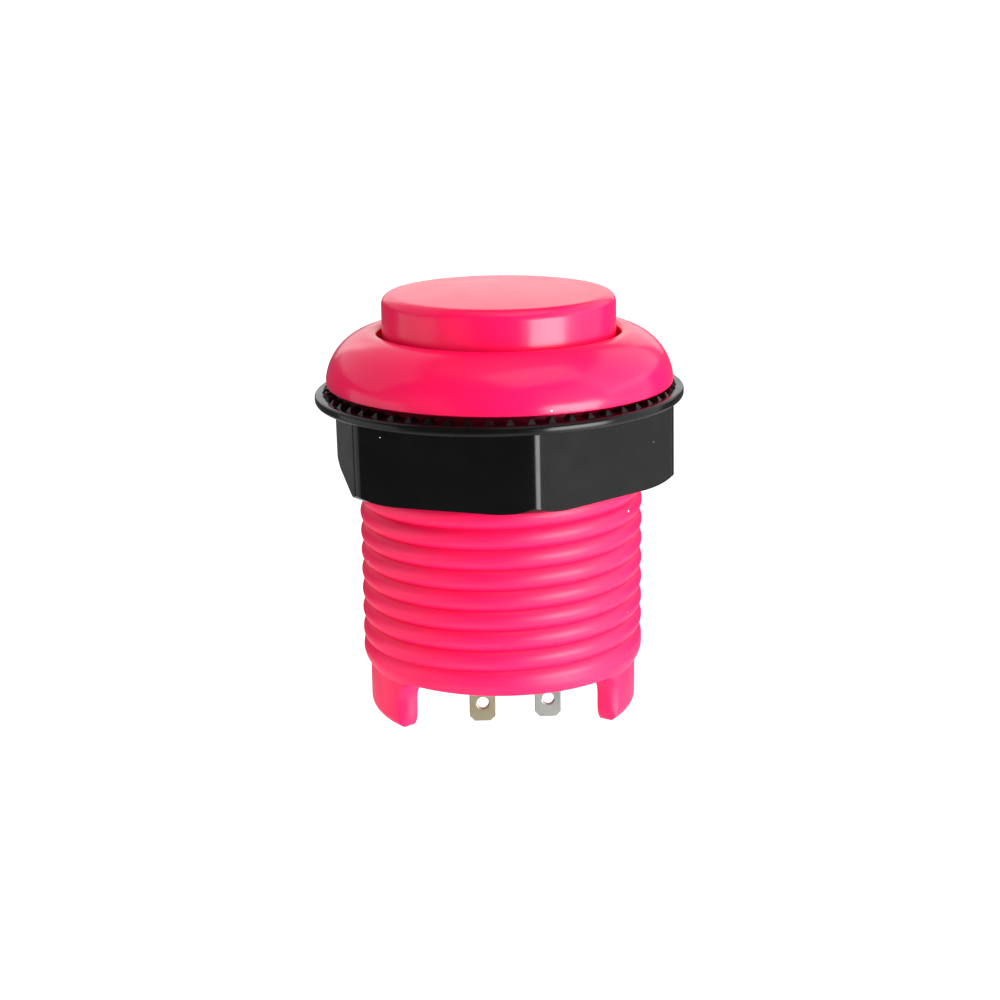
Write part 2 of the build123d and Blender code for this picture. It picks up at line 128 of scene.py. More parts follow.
class Bench:
    """Modelling steps that the pieces share, each done with Blender's own operators."""

    STEPS = 144

    @staticmethod
    def leave() -> None:
        """Leaves edit mode."""
        if bpy.context.mode != "OBJECT":
            bpy.ops.object.mode_set(mode="OBJECT")

    @staticmethod
    def clear() -> None:
        """Leaves edit mode and deselects everything."""
        Bench.leave()
        bpy.ops.object.select_all(action="DESELECT")

    @staticmethod
    def take(piece: Piece) -> Piece:
        """Makes one piece the only selected and active one.

        Args:
            piece: The piece.

        Returns:
            The same piece.
        """
        Bench.clear()
        piece.select_set(True)
        bpy.context.view_layer.objects.active = piece
        return piece

    @staticmethod
    def edit(piece: Piece) -> None:
        """Takes a piece into edit mode with all of it selected."""
        Bench.take(piece)
        bpy.ops.object.mode_set(mode="EDIT")
        bpy.ops.mesh.select_all(action="SELECT")

    @staticmethod
    def weld() -> None:
        """Merges the doubled points of the piece in edit mode."""
        bpy.ops.mesh.select_all(action="SELECT")
        bpy.ops.mesh.remove_doubles(threshold=WELD)

    @staticmethod
    def lift(rise: float) -> None:
        """Extrudes what is selected along Z, by a rise in millimetres."""
        bpy.ops.mesh.extrude_region_move(TRANSFORM_OT_translate={"value": (0, 0, rise * MM)})

    @staticmethod
    def edges(piece: Piece) -> List[Tuple[bpy.types.MeshEdge, Vector]]:
        """Lists the edges of a piece, each with its middle point.

        Args:
            piece: The piece, in object mode.

        Returns:
            Pairs of an edge and its middle.
        """
        spots = [vertex.co for vertex in piece.data.vertices]
        ends = ((edge, *edge.vertices) for edge in piece.data.edges)
        return [(edge, (spots[first] + spots[last]) / 2) for edge, first, last in ends]

    @staticmethod
    def pick(piece: Piece, kind: Part, test: Test) -> None:
        """Selects edges or faces of a piece by their middle point.

        Args:
            piece: The piece, active and in edit mode.
            kind: What is picked.
            test: Says whether the part with that middle point is wanted.
        """
        bpy.ops.mesh.select_mode(type=kind.value)
        bpy.ops.mesh.select_all(action="DESELECT")
        Bench.leave()
        parts = Bench.edges(piece)
        if kind is Part.FACE:
            parts = [(face, face.center) for face in piece.data.polygons]
        for part, middle in parts:
            part.select = test(middle)
        bpy.ops.object.mode_set(mode="EDIT")

    @staticmethod
    def pick_rim(piece: Piece, test: Test) -> None:
        """Selects the open rims of a piece whose edges pass a test.

        Args:
            piece: The piece, active and in edit mode.
            test: Says whether the edge with that middle point is wanted.
        """
        bpy.ops.mesh.select_mode(type="EDGE")
        bpy.ops.mesh.select_all(action="DESELECT")
        bpy.ops.mesh.select_non_manifold(
            extend=False, use_wire=False, use_multi_face=False, use_verts=False
        )
        Bench.leave()
        for edge, middle in Bench.edges(piece):
            edge.select = edge.select and test(middle)
        bpy.ops.object.mode_set(mode="EDIT")

    @staticmethod
    def bridge(piece: Piece, test: Test) -> None:
        """Closes the gap between two open rims that pass a test."""
        Bench.pick_rim(piece, test)
        bpy.ops.mesh.bridge_edge_loops()

    @staticmethod
    def trace(name: str, line: Sequence[Point], closed: bool = False) -> Piece:
        """Draws a line of edges in the XZ plane by extruding one vertex along it.

        Args:
            name: Name of the new piece.
            line: Points as radius and height in millimetres.
            closed: Whether the last point joins the first.

        Returns:
            The new piece.
        """
        Bench.clear()
        bpy.ops.mesh.primitive_plane_add(size=MM)
        piece = bpy.context.object
        piece.name = name
        Bench.edit(piece)
        bpy.ops.mesh.select_mode(type="VERT")
        bpy.ops.mesh.merge(type="CENTER")
        spots = [Vector((radius, 0, height)) * MM for radius, height in line]
        if closed:
            spots.append(spots[0])
        bpy.ops.transform.translate(value=spots[0])
        for before, after in zip(spots, spots[1:]):
            bpy.ops.mesh.extrude_region_move(TRANSFORM_OT_translate={"value": after - before})
        Bench.weld()
        Bench.leave()
        return piece

    @staticmethod
    def outward(piece: Piece) -> Piece:
        """Turns the faces of a closed piece outwards, judged by the volume they enclose.

        Args:
            piece: The piece.

        Returns:
            The same piece, in object mode.
        """
        Bench.edit(piece)
        bpy.ops.mesh.normals_make_consistent(inside=False)
        Bench.leave()
        mesh = piece.data
        mesh.calc_loop_triangles()
        volume = 0.0
        for triangle in mesh.loop_triangles:
            first, second, third = (mesh.vertices[index].co for index in triangle.vertices)
            volume += first.dot(second.cross(third))
        if volume < 0:
            Bench.edit(piece)
            bpy.ops.mesh.flip_normals()
            Bench.leave()
        return piece

    @staticmethod
    def spin(name: str, line: Sequence[Point], closed: bool = False) -> Piece:
        """Turns a line about the Z axis into a round piece.

        Args:
            name: Name of the new piece.
            line: Points as radius and height in millimetres.
            closed: Whether the last point joins the first.

        Returns:
            The new piece, with its seam and poles closed.
        """
        piece = Bench.trace(name, line, closed)
        Bench.edit(piece)
        bpy.ops.mesh.spin(steps=Bench.STEPS, angle=math.tau, center=CENTRE, axis=(0, 0, 1))
        Bench.weld()
        return Bench.outward(piece)

    @staticmethod
    def prism(name: str, outline: Sequence[Point], low: float, high: float) -> Piece:
        """Extrudes an outline upwards into a block.

        Args:
            name: Name of the new piece.
            outline: Corners as x and y in millimetres.
            low: Height of the lower face in millimetres.
            high: Height of the upper face in millimetres.

        Returns:
            The new piece.
        """
        piece = Bench.trace(name, outline, closed=True)
        lay = Matrix(((1, 0, 0, 0), (0, 0, 1, 0), (0, 1, 0, low * MM), (0, 0, 0, 1)))
        piece.data.transform(lay)
        Bench.edit(piece)
        bpy.ops.mesh.edge_face_add()
        Bench.lift(high - low)
        return Bench.outward(piece)

    @staticmethod
    def box(name: str, low: Sequence[float], high: Sequence[float]) -> Piece:
        """Makes a block between two corners, given in millimetres."""
        corners = [(low[0], low[1]), (high[0], low[1]), (high[0], high[1]), (low[0], high[1])]
        return Bench.prism(name, corners, low[2], high[2])

    @staticmethod
    def trim(piece: Piece, tool: Piece, how: Trim) -> None:
        """Cuts, joins or keeps a piece by another, which is then gone.

        Args:
            piece: The piece that is changed.
            tool: The piece that works on it.
            how: What the tool does.
        """
        Bench.take(piece)
        modifier = piece.modifiers.new("trim", "BOOLEAN")
        modifier.operation = how.value
        modifier.solver = "EXACT"
        modifier.object = tool
        bpy.ops.object.modifier_apply(modifier=modifier.name)
        bpy.data.objects.remove(tool)

    @staticmethod
    def join(pieces: Sequence[Piece], name: str) -> Piece:
        """Joins pieces into the first one.

        Args:
            pieces: The pieces.
            name: Name of the joined piece.

        Returns:
            The joined piece.
        """
        Bench.take(pieces[0])
        for piece in pieces:
            piece.select_set(True)
        bpy.ops.object.join()
        pieces[0].name = name
        return pieces[0]

    @staticmethod
    def finish(piece: Piece, angle: float) -> None:
        """Welds a piece and shades it smooth.

        Args:
            piece: The piece.
            angle: Angle in degrees up to which an edge is smooth.
        """
        Bench.edit(piece)
        bpy.ops.mesh.select_mode(type="VERT")
        Bench.weld()
        Bench.leave()
        bpy.ops.object.shade_smooth_by_angle(angle=math.radians(angle))


@dataclass
class Thread:
    """A helical thread about the Z axis, modelled as the surface between two heights.

    Sizes are in millimetres.
    """

    line: Sequence[Point]
    pitch: float
    low: float
    high: float
    phase: float = 0.0
    spare_turns: int = 3

    def build(self, name: str) -> Piece:
        """Screws one pitch of the line up the axis and trims both ends square.

        Args:
            name: Name of the new piece.

        Returns:
            The open thread surface.
        """
        start = self.low - self.spare_turns / 2 * self.pitch
        start -= (start - self.phase) % self.pitch
        line = [(radius, start + height) for radius, height in self.line]
        piece = Bench.take(Bench.trace(name, line))
        screw = piece.modifiers.new("screw", "SCREW")
        screw.axis = "Z"
        screw.angle = math.tau
        screw.screw_offset = self.pitch * MM
        screw.iterations = math.ceil((self.high - self.low) / self.pitch) + self.spare_turns
        screw.steps = Bench.STEPS
        screw.render_steps = Bench.STEPS
        bpy.ops.object.modifier_apply(modifier=screw.name)
        Bench.edit(piece)
        Bench.weld()
        for height, upward in ((self.high, 1), (self.low, -1)):
            bpy.ops.mesh.select_all(action="SELECT")
            bpy.ops.mesh.bisect(
                plane_co=(0, 0, height * MM), plane_no=(0, 0, upward),
                clear_outer=True, threshold=WELD,
            )
        Bench.leave()
        return piece


@dataclass
class Housing:
    """Domed bezel, threaded barrel, deck, switch nest and two feet, one pink moulding.

    Sizes are in millimetres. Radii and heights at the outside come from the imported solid.
    """

    bore_radius: float = 11.45
    lip_radius: float = 0.5
    crown_width: float = 1.1
    dome_radius: float = 5.1
    rim_height: float = 0.65
    rim_round: float = 0.12
    neck_radius: float = 12.97
    neck_length: float = 1.6
    root_radius: float = 13.02
    crest_radius: float = 13.5
    pitch: float = 1.92
    thread_start: float = -25.89
    thread_fade: float = 1.0
    barrel_length: float = 26.85
    taper_above: float = 0.95
    taper_below: float = 0.4
    taper_radius: float = 2.4
    foot_radius: float = 12.87
    foot_inner: float = 11.07
    foot_corner: float = 1.6
    foot_edge: float = 1.5
    foot_toe: float = 1.0
    foot_drop: float = 0.4
    foot_angle: float = 79.0
    arch_round: float = 2.2
    deck_top: float = -18.0
    deck_bottom: float = -20.0
    seat_radius: float = 3.35
    seat_height: float = 1.0
    hole_radius: float = 2.5
    window_inner: float = 9.3
    window_half: float = 2.8
    nest_offset: float = 1.18
    nest_pocket: Point = (13.0, 6.0)
    nest_wall: float = 1.2
    nest_bottom: float = -27.2
    lip_size: Point = (0.4, 0.6)
    lip_length: float = 4.0
    sink: float = 0.1
    smooth_angle: float = 40.0
    lip_chords: int = 8
    dome_chords: int = 28
    rim_chords: int = 4
    ridge_chords: int = 14
    taper_chords: int = 24
    toe_chords: int = 8
    arch_chords: int = 6
    window_chords: int = 8

    def __post_init__(self) -> None:
        low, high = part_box("housing")
        self.bezel_radius: float = high.x / MM
        self.bezel_height: float = high.z / MM
        self.foot_bottom: float = low.z / MM - self.foot_drop
        self.taper_start: Point = (self.crest_radius, self.taper_above - self.barrel_length)
        self.taper_end: Point = (self.foot_radius, -self.taper_below - self.barrel_length)
        self.thread_end: float = self.taper_end[1] - self.sink
        self.seat_top: float = self.deck_top + self.seat_height

    def bezel_line(self) -> Line:
        """Draws the spring's seat, the bore, the bezel and its underside.

        Returns:
            The points of the line, from inside to out.
        """
        top = self.bezel_height
        lip_low = (self.bore_radius, top - self.lip_radius)
        lip_high = (self.bore_radius + self.lip_radius, top)
        dome_low = (self.bezel_radius, self.rim_height)
        dome_high = (self.bore_radius + self.crown_width, top)
        line = [(self.hole_radius, self.seat_top), (self.seat_radius, self.seat_top)]
        line += [(self.seat_radius, self.deck_top), (self.bore_radius, self.deck_top), lip_low]
        line += bend(lip_low, lip_high, -self.lip_radius, self.lip_chords)
        line += [dome_high]
        line += bend(dome_high, dome_low, -self.dome_radius, self.dome_chords)
        line += [(self.bezel_radius, self.rim_round)]
        rim_low = (self.bezel_radius - self.rim_round, 0)
        line += bend(line[-1], rim_low, -self.rim_round, self.rim_chords)
        line += [(self.neck_radius, 0), (self.neck_radius, -self.neck_length)]
        return line

    def thread(self) -> Piece:
        """Screws the rounded thread and rounds its lower end in to the feet.

        Returns:
            The open surface of the barrel.
        """
        line = [(self.root_radius, 0.0)]
        depth = self.crest_radius - self.root_radius
        round_off = (depth**2 + (self.pitch / 2) ** 2) / (2 * depth)
        line += bend(line[0], (self.root_radius, self.pitch), round_off, self.ridge_chords)
        thread = Thread(line, self.pitch, self.thread_end, -self.neck_length, self.thread_start)
        barrel = thread.build("barrel")
        knots = [self.taper_start]
        knots += bend(self.taper_start, self.taper_end, -self.taper_radius, self.taper_chords)
        for vertex in barrel.data.vertices:
            radius = math.hypot(vertex.co.x, vertex.co.y) / MM
            depth = (self.crest_radius - radius) * self._groove(vertex.co)
            wanted = min(self.crest_radius - depth, self._limit(knots, vertex.co.z / MM))
            vertex.co.x *= wanted / radius
            vertex.co.y *= wanted / radius
        return barrel

    def _groove(self, spot: Vector) -> float:
        """Fades the groove in from the thread's lower end.

        Args:
            spot: A point on the thread, in metres.

        Returns:
            Share of the groove's full depth there.
        """
        turn = math.atan2(spot.y, spot.x) / math.tau % 1
        groove = round((spot.z / MM - self.thread_start) / self.pitch - turn)
        way = min(max((groove + turn) / self.thread_fade, 0.0), 1.0)
        return way * way * (3 - 2 * way)

    @staticmethod
    def _limit(knots: Sequence[Point], height: float) -> float:
        """Finds the largest radius that the rounded lower end leaves.

        Args:
            knots: Points of the lower end's outline, from the top down.
            height: Height in millimetres.

        Returns:
            The radius in millimetres.
        """
        if height >= knots[0][1]:
            return knots[0][0]
        for upper, lower in zip(knots, knots[1:]):
            if height >= lower[1]:
                share = (upper[1] - height) / (upper[1] - lower[1])
                return upper[0] + (lower[0] - upper[0]) * share
        return knots[-1][0]

    def build(self) -> Piece:
        """Models the whole moulding.

        Returns:
            The finished piece.
        """
        bezel = Bench.spin("bezel", self.bezel_line())
        shell = Bench.join([bezel, self.thread()], "housing_shell")
        Bench.edit(shell)
        Bench.bridge(shell, at_height(-self.neck_length))
        Bench.pick_rim(shell, at_height(self.thread_end))
        self._line_inside()
        seat_rim = (self.seat_top - 1.5 * self.sink) * MM
        inside = (self.hole_radius + self.sink) * MM
        Bench.bridge(shell, lambda spot: spot.z > seat_rim and spot.xy.length < inside)
        Bench.outward(shell)
        self._cut_arches(shell)
        self._cut_windows(shell)
        self._add_nest(shell)
        Bench.finish(shell, self.smooth_angle)
        return shell

    def _line_inside(self) -> None:
        """Extrudes the barrel's lower rim down the feet and up inside to the spring's seat."""
        here = (self.foot_radius, self.thread_end)
        toe = (self.foot_radius, self.foot_bottom + self.foot_toe)
        sole = (self.foot_radius - self.foot_toe, self.foot_bottom)
        for there in (
            toe,
            *bend(toe, sole, -self.foot_toe, self.toe_chords),
            (self.foot_inner, self.foot_bottom),
            (self.foot_inner, self.deck_bottom),
            (self.hole_radius, self.deck_bottom),
            (self.hole_radius, self.seat_top - self.sink),
        ):
            Bench.lift(there[1] - here[1])
            share = there[0] / here[0]
            bpy.ops.transform.resize(value=(share, share, 1), center_override=CENTRE)
            here = there

    def _arch_side(self) -> List[Vector]:
        """Draws one side wall of an arch in plan, with a soft edge on the foot.

        Returns:
            The points of the wall between +X and +Y, from the inside out.
        """
        half = math.radians(90 - self.foot_angle / 2)
        along = Vector((math.sin(half), math.cos(half)))
        across = Vector((along.y, -along.x)) * self.foot_edge
        flat = self.foot_radius - self.foot_edge
        wall = [along * self.foot_inner / 2]
        for step in range(self.arch_chords + 1):
            turn = math.radians(90 * step / self.arch_chords)
            reach = flat + self.foot_edge * math.sin(turn)
            wall.append(along * reach + across * (1 - math.cos(turn)))
        wall.append(along * 2 * self.crest_radius + across)
        return wall

    def _cut_arches(self, shell: Piece) -> None:
        """Cuts the two arches between the feet and rounds the corners of the feet.

        Args:
            shell: The moulding.
        """
        top = at_height(-self.barrel_length)
        wall = self._arch_side()
        knee = self.foot_bottom + self.foot_corner
        reach = self.foot_radius * math.sin(math.radians(90 - self.foot_angle / 2))
        for side in (-1, 1):
            outline = [(x, side * y) for x, y in wall]
            outline += [(-x, side * y) for x, y in reversed(wall)]
            arch = Bench.prism("arch", outline, knee, -self.barrel_length)
            Bench.edit(arch)
            Bench.pick(arch, Part.EDGE, lambda spot: top(spot) and abs(spot.x) > MM)
            bpy.ops.mesh.bevel(
                offset=self.arch_round * MM, segments=self.arch_chords, affect="EDGES"
            )
            Bench.pick(arch, Part.FACE, at_height(knee))
            width, depth = reach, 0.0
            for step in range(1, self.arch_chords + 1):
                turn = math.radians(90 * step / self.arch_chords)
                lower = self.foot_corner * math.sin(turn)
                wider = reach + self.foot_corner * (1 - math.cos(turn))
                Bench.lift(depth - lower)
                bpy.ops.transform.resize(value=(wider / width, 1, 1), center_override=CENTRE)
                width, depth = wider, lower
            Bench.lift(-OVER)
            Bench.trim(shell, Bench.outward(arch), Trim.CUT)

    def _cut_windows(self, shell: Piece) -> None:
        """Cuts the two windows in the deck that the plunger's hooks pass.

        Args:
            shell: The moulding.
        """
        for side in (-1, 1):
            edge = [(self.window_half, self.window_inner), (-self.window_half, self.window_inner)]
            reach = math.degrees(math.asin(self.window_half / self.foot_inner))
            for step in range(self.window_chords + 1):
                angle = math.radians(90 + reach - 2 * reach * step / self.window_chords)
                edge.append((self.foot_inner * math.cos(angle), self.foot_inner * math.sin(angle)))
            outline = [(x, side * y) for x, y in edge]
            window = Bench.prism("window", outline, self.deck_bottom - OVER, self.deck_top + OVER)
            Bench.trim(shell, window, Trim.CUT)

    def _add_nest(self, shell: Piece) -> None:
        """Adds the walls under the deck that hold the switch, with their lips.

        Args:
            shell: The moulding.
        """
        length, depth = self.nest_pocket
        x, wall = self.nest_offset, self.nest_wall
        root = self.deck_bottom + self.sink
        nest = Bench.box(
            "nest",
            (x - length / 2 - wall, -depth / 2 - wall, self.nest_bottom),
            (x + length / 2 + wall, depth / 2 + wall, root + 4 * self.sink),
        )
        pocket = Bench.box(
            "pocket",
            (x - length / 2, -depth / 2, self.nest_bottom - OVER),
            (x + length / 2, depth / 2, root),
        )
        Bench.trim(nest, pocket, Trim.CUT)
        width, rise = self.lip_size
        for side in (-1, 1):
            face = side * depth / 2
            back, tip = face + side * self.sink, face - side * width
            low, high = self.nest_bottom, self.nest_bottom + rise
            outline = [(back, high), (tip, high), (face, low), (back, low)]
            lip = Bench.prism("lip", outline, -self.lip_length / 2, self.lip_length / 2)
            stand = Matrix(((0, 0, 1, x * MM), (1, 0, 0, 0), (0, 1, 0, 0), (0, 0, 0, 1)))
            lip.data.transform(stand)
            Bench.trim(nest, Bench.outward(lip), Trim.ADD)
        Bench.trim(shell, nest, Trim.ADD)


@dataclass
class Plunger:
    """Pink cap with a skirt, a ribbed boss, a stem and two snap hooks, one moulding.

    Sizes are in millimetres.
    """

    edge_radius: float = 1.0
    dome: float = 0.25
    wall: float = 1.4
    crown: float = 1.8
    skirt_length: float = 21.9
    boss_radius: float = 4.3
    boss_bottom: float = -2.0
    spigot_radius: float = 3.35
    spigot_length: float = 1.5
    stem_radius: float = 2.2
    stem_end: float = -16.5
    rib_thickness: float = 1.2
    hook_half: float = 2.5
    hook_thickness: float = 1.0
    hook_lip: float = 0.8
    hook_height: float = 1.6
    hook_face: float = 0.55
    catch: float = -20.05
    round_off: float = 0.1
    rib_sink: float = 0.25
    smooth_angle: float = 35.0
    dome_chords: int = 12
    edge_chords: int = 14

    def __post_init__(self) -> None:
        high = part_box("plunger")[1]
        self.radius: float = high.x / MM
        self.top: float = high.z / MM
        self.inner: float = self.radius - self.wall
        self.bottom: float = self.top - self.skirt_length
        self.ceiling: float = self.top - self.crown

    def build(self) -> Piece:
        """Models the whole moulding.

        Returns:
            The finished piece.
        """
        cap = Bench.spin("plunger_cap", self._line())
        half = self.rib_thickness / 2
        reach = self.inner + self.wall * self.rib_sink
        root = self.ceiling + self.crown * self.rib_sink
        for x, y in ((reach, half), (half, reach)):
            rib = Bench.box("rib", (-x, -y, self.boss_bottom + self.round_off), (x, y, root))
            Bench.trim(cap, rib, Trim.ADD)
        for side in (-1, 1):
            Bench.trim(cap, self._hook(side), Trim.ADD)
        Bench.finish(cap, self.smooth_angle)
        return cap

    def _line(self) -> Line:
        """Draws the cap's crown, skirt, boss, spigot and stem.

        Returns:
            The points of the line, from the crown's middle round to the stem's end.
        """
        soft = self.round_off
        apex = (0, self.top + self.dome)
        edge = (self.radius - self.edge_radius, self.top)
        sweep = (edge[0] ** 2 + self.dome ** 2) / (2 * self.dome)
        shoulder = (self.radius, edge[1] - self.edge_radius)
        spigot_end = self.boss_bottom - self.spigot_length
        line = [apex]
        line += bend(apex, edge, -sweep, self.dome_chords)
        line += bend(edge, shoulder, -self.edge_radius, self.edge_chords)
        line += [(self.radius, self.bottom + soft), (self.radius - soft, self.bottom)]
        line += [(self.inner, self.bottom), (self.inner, self.ceiling)]
        line += [(self.boss_radius, self.ceiling), (self.boss_radius, self.boss_bottom)]
        line += [(self.spigot_radius, self.boss_bottom), (self.spigot_radius, spigot_end)]
        line += [(self.stem_radius, spigot_end), (self.stem_radius, self.stem_end + soft)]
        line += [(self.stem_radius - soft, self.stem_end), (0, self.stem_end)]
        return line

    def _hook(self, side: int) -> Piece:
        """Models one snap hook.

        Args:
            side: -1 for the hook towards -Y and 1 for the other.

        Returns:
            The hook.
        """
        outer = self.inner + self.hook_thickness
        root = self.bottom + self.hook_thickness
        tip = self.catch - self.hook_height
        barb = self.inner - self.hook_lip
        outline = [
            (self.inner, root), (outer, root), (outer, tip), (self.inner, tip),
            (barb, self.catch - self.hook_face), (barb, self.catch), (self.inner, self.catch),
        ]
        hook = Bench.prism("hook", outline, -self.hook_half, self.hook_half)
        stand = Matrix(((0, 0, 1, 0), (side, 0, 0, 0), (0, 1, 0, 0), (0, 0, 0, 1)))
        hook.data.transform(stand)
        return Bench.outward(hook)


@dataclass
class LockNut:
    """Black hexagon nut with a toothed flange and a threaded bore.

    Sizes are in millimetres.
    """

    sides: int = 6
    bore_radius: float = 13.65
    wall: float = 1.25
    corner_radius: float = 1.2
    turn: float = -23.3
    tilt: float = 0.7
    top: float = -0.65
    height: float = 8.3
    chamfer: float = 0.5
    chamfer_rise: float = 1.6
    chamfer_round: float = 2.0
    flange_lip: float = 0.4
    flange_thickness: float = 0.85
    flange_cone: float = 0.8
    flange_round: float = 0.3
    tooth_count: int = 56
    tooth_inset: float = 0.35
    tooth_size: Vector3 = (1.4, 0.85, 0.4)
    tooth_taper: float = 40.0
    thread_depth: float = 0.4
    thread_base: float = 0.7
    thread_start: float = -25.89
    pitch: float = 1.92
    sink: float = 0.1
    smooth_angle: float = 35.0
    corner_chords: int = 12
    chamfer_chords: int = 10
    rim_chords: int = 6
    cone_chords: int = 5
    cone_blend: float = 1.3

    def __post_init__(self) -> None:
        self.half_side: float = math.pi / self.sides
        self.apothem: float = self.bore_radius + self.wall
        straight = (self.apothem - self.corner_radius) / math.cos(self.half_side)
        self.flange_radius: float = straight + self.corner_radius + self.flange_lip
        self.bottom: float = self.top - self.height
        self.middle: float = (self.top + self.bottom) / 2

    def build(self) -> Piece:
        """Models the nut, square on its thread, and then sets it as crooked as it sits.

        Returns:
            The finished piece.
        """
        nut = self._hexagon()
        Bench.trim(nut, self._envelope(), Trim.KEEP)
        Bench.trim(nut, self._flange(), Trim.ADD)
        Bench.trim(nut, self._teeth(), Trim.ADD)
        Bench.trim(nut, self._bore(), Trim.CUT)
        nut.name = "lock_nut_body"
        pivot = Matrix.Translation((0, 0, self.middle * MM))
        lean = Matrix.Rotation(math.radians(-self.tilt), 4, "Y")
        nut.data.transform(pivot @ lean @ pivot.inverted())
        Bench.finish(nut, self.smooth_angle)
        return nut

    def _hexagon(self) -> Piece:
        """Models the hexagonal block with rounded corners.

        Returns:
            The block.
        """
        sharp = self.apothem / math.cos(self.half_side)
        corners = []
        for side in range(self.sides):
            angle = math.radians(self.turn) + math.tau * side / self.sides
            corners.append((sharp * math.cos(angle), sharp * math.sin(angle)))
        high = self.top - self.flange_thickness / 2
        block = Bench.prism("hexagon", corners, self.bottom, high)
        Bench.edit(block)
        Bench.pick(block, Part.EDGE, lambda spot: spot.xy.length > (sharp - self.sink) * MM)
        reach = self.corner_radius * math.tan(self.half_side)
        bpy.ops.mesh.bevel(offset=reach * MM, segments=self.corner_chords, affect="EDGES")
        Bench.leave()
        return block

    def _envelope(self) -> Piece:
        """Models the round block whose soft lower edge cuts the hexagon's lower corners.

        Returns:
            The block.
        """
        foot = (self.apothem + self.chamfer, self.bottom)
        line = [(0, self.top), (self.flange_radius, self.top)]
        line += [(self.flange_radius, self.bottom + self.chamfer_rise)]
        line += bend(line[-1], foot, -self.chamfer_round, self.chamfer_chords)
        line += [(0, self.bottom)]
        return Bench.spin("envelope", line)

    def _flange(self) -> Piece:
        """Models the flange, with a rounded rim and a coned underside.

        Returns:
            The flange.
        """
        soft = self.flange_round
        low = self.top - self.flange_thickness
        rim = self.flange_radius
        slope = Vector((self.bore_radius - rim, -self.flange_cone)).normalized() * soft
        inside = self.bore_radius - OVER
        cone_low = low - self.flange_cone
        line = [(inside, self.top), (rim - soft, self.top)]
        line += bend(line[-1], (rim, self.top - soft), -soft, self.rim_chords)
        line += [(rim, low + soft)]
        cone_start = (rim + slope.x, low + slope.y)
        line += bend(line[-1], cone_start, -soft * self.cone_blend, self.cone_chords)
        line += [(self.bore_radius, cone_low), (inside, cone_low)]
        return Bench.spin("flange", line, closed=True)

    def _teeth(self) -> Piece:
        """Models one pointed tooth on the flange and copies it round.

        Returns:
            The ring of teeth.
        """
        length, width, height = self.tooth_size
        shrink = height * math.tan(math.radians(self.tooth_taper))
        ring = self.flange_radius - self.flange_round - self.tooth_inset - length / 2
        low = (ring - length / 2, -width / 2, self.top - self.sink)
        tooth = Bench.box("tooth", low, (ring + length / 2, width / 2, self.top + height))
        for vertex in tooth.data.vertices:
            if vertex.co.z > self.top * MM:
                inset = math.copysign(length / 2 - shrink, vertex.co.x / MM - ring)
                vertex.co.x = (ring + inset) * MM
                vertex.co.y = math.copysign(width / 2 - shrink, vertex.co.y) * MM
        copies = [tooth]
        for number in range(1, self.tooth_count):
            copy = tooth.copy()
            copy.data = tooth.data.copy()
            copy.data.transform(Matrix.Rotation(math.tau * number / self.tooth_count, 4, "Z"))
            bpy.context.scene.collection.objects.link(copy)
            copies.append(copy)
        return Bench.join(copies, "teeth")

    def _bore(self) -> Piece:
        """Models the threaded plug that cuts the bore.

        Returns:
            The plug.
        """
        half = self.thread_base / 2
        groove = self.bore_radius - self.thread_depth
        line = [(groove, 0.0), (self.bore_radius, half)]
        line += [(self.bore_radius, self.pitch - half), (groove, self.pitch)]
        low, high = self.bottom - OVER, self.top + OVER
        plug = Thread(line, self.pitch, low, high, self.thread_start).build("plug")
        Bench.edit(plug)
        for height in (low, high):
            Bench.pick_rim(plug, at_height(height))
            bpy.ops.mesh.edge_face_add()
        return Bench.outward(plug)


